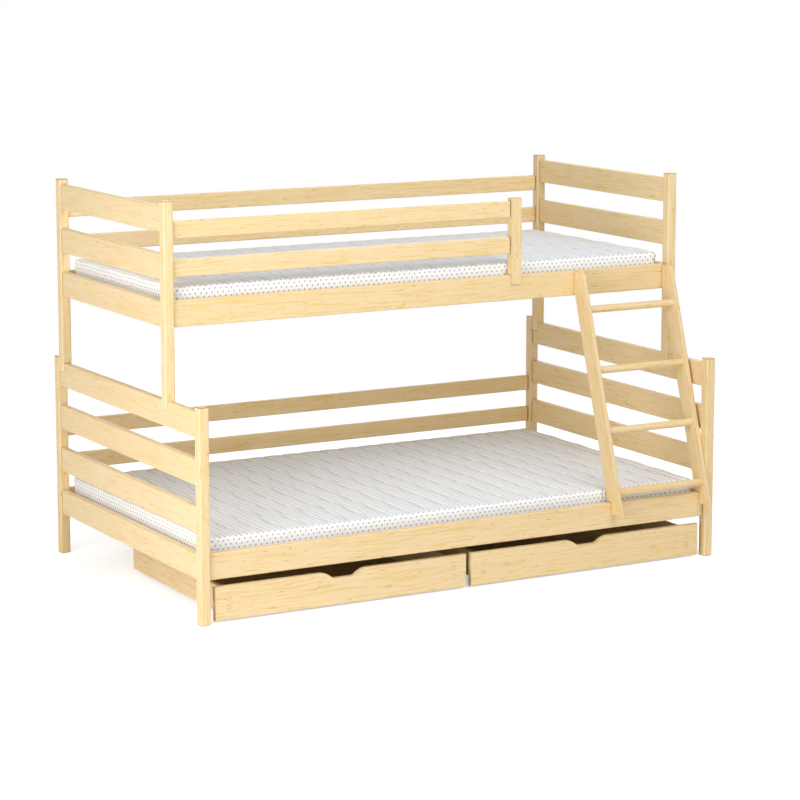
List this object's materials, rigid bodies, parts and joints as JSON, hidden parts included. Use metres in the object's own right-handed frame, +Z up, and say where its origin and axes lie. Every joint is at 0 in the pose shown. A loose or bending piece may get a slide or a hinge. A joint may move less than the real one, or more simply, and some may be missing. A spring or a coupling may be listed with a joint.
{
  "type": "bunk bed with drawers",
  "caption": "Pine bunk bed: a single bunk over a wide one, with mattresses, a guard rail, a leaning ladder and roll-out drawers under the lower bunk.",
  "frame": {"origin": "centre of the footprint, on the floor", "axes": "+Z up, +X along the bed's length towards the ladder end, -Y towards the ladder and the drawer fronts"},
  "size_m": [2.08, 1.2926, 1.394],
  "materials": {
    "pine": "clear satin lacquer on pale pine",
    "slats": "planed, uncoated pine",
    "drawer_box": "planed pine boards and thin plywood",
    "mattress": "white quilted cotton with a dotted border",
    "wheel": "dark plastic"
  },
  "bodies": {
    "frame": {"lower_post_front_left": "pine", "lower_post_back_left": "pine", "lower_end_rail_left_1": "pine", "lower_end_rail_left_2": "pine", "lower_end_rail_left_3": "pine", "lower_end_rail_left_4": "pine", "lower_post_front_right": "pine", "lower_post_back_right": "pine", "lower_end_rail_right_1": "pine", "lower_end_rail_right_2": "pine", "lower_end_rail_right_3": "pine", "lower_end_rail_right_4": "pine", "upper_post_front_left": "pine", "upper_post_back_left": "pine", "upper_end_rail_left_1": "pine", "upper_end_rail_left_2": "pine", "upper_end_rail_left_3": "pine", "upper_post_front_right": "pine", "upper_post_back_right": "pine", "upper_end_rail_right_1": "pine", "upper_end_rail_right_2": "pine", "upper_end_rail_right_3": "pine", "lower_side_rail_front": "pine", "lower_side_rail_back": "pine", "upper_side_rail_front": "pine", "upper_side_rail_back": "pine", "lower_back_guard_1": "pine", "lower_back_guard_2": "pine", "upper_back_guard_1": "pine", "upper_back_guard_2": "pine", "front_guard_rail_1": "pine", "front_guard_rail_2": "pine", "front_guard_post": "pine", "ladder_stringer_left": "pine", "ladder_stringer_right": "pine", "ladder_rung_1": "pine", "ladder_rung_2": "pine", "ladder_rung_3": "pine", "ladder_rung_4": "pine", "lower_slat_base": "slats", "lower_mattress": "mattress", "upper_slat_base": "slats", "upper_mattress": "mattress"},
    "drawer_left": {"drawer_left_front": "pine", "drawer_left_side_left": "drawer_box", "drawer_left_side_right": "drawer_box", "drawer_left_back": "drawer_box", "drawer_left_bottom": "drawer_box"},
    "drawer_right": {"drawer_right_front": "pine", "drawer_right_side_left": "drawer_box", "drawer_right_side_right": "drawer_box", "drawer_right_back": "drawer_box", "drawer_right_bottom": "drawer_box"},
    "drawer_left_front_wheels": {"drawer_left_wheels_front": "wheel"},
    "drawer_left_back_wheels": {"drawer_left_wheels_back": "wheel"},
    "drawer_right_front_wheels": {"drawer_right_wheels_front": "wheel"},
    "drawer_right_back_wheels": {"drawer_right_wheels_back": "wheel"}
  },
  "joints": [
    {"name": "drawer_left_slide", "type": "slide", "parent": "frame", "child": "drawer_left", "axis": [0, -1, 0], "range_m": [0, 0.6]},
    {"name": "drawer_left_front_wheels_spin", "type": "hinge", "parent": "drawer_left", "child": "drawer_left_front_wheels", "pos_m": [-0.496, -0.4894, 0.0095], "axis": [1, 0, 0], "range_deg": [0, 3619]},
    {"name": "drawer_left_back_wheels_spin", "type": "hinge", "parent": "drawer_left", "child": "drawer_left_back_wheels", "pos_m": [-0.496, 0.079, 0.0095], "axis": [1, 0, 0], "range_deg": [0, 3619]},
    {"name": "drawer_right_slide", "type": "slide", "parent": "frame", "child": "drawer_right", "axis": [0, -1, 0], "range_m": [0, 0.6]},
    {"name": "drawer_right_front_wheels_spin", "type": "hinge", "parent": "drawer_right", "child": "drawer_right_front_wheels", "pos_m": [0.496, -0.4894, 0.0095], "axis": [1, 0, 0], "range_deg": [0, 3619]},
    {"name": "drawer_right_back_wheels_spin", "type": "hinge", "parent": "drawer_right", "child": "drawer_right_back_wheels", "pos_m": [0.496, 0.079, 0.0095], "axis": [1, 0, 0], "range_deg": [0, 3619]}
  ],
  "couplings": [
    {"joint": "drawer_left_front_wheels_spin", "follows": "drawer_left_slide", "rad_per_m": 105.26},
    {"joint": "drawer_left_back_wheels_spin", "follows": "drawer_left_slide", "rad_per_m": 105.26},
    {"joint": "drawer_right_front_wheels_spin", "follows": "drawer_right_slide", "rad_per_m": 105.26},
    {"joint": "drawer_right_back_wheels_spin", "follows": "drawer_right_slide", "rad_per_m": 105.26}
  ]
}
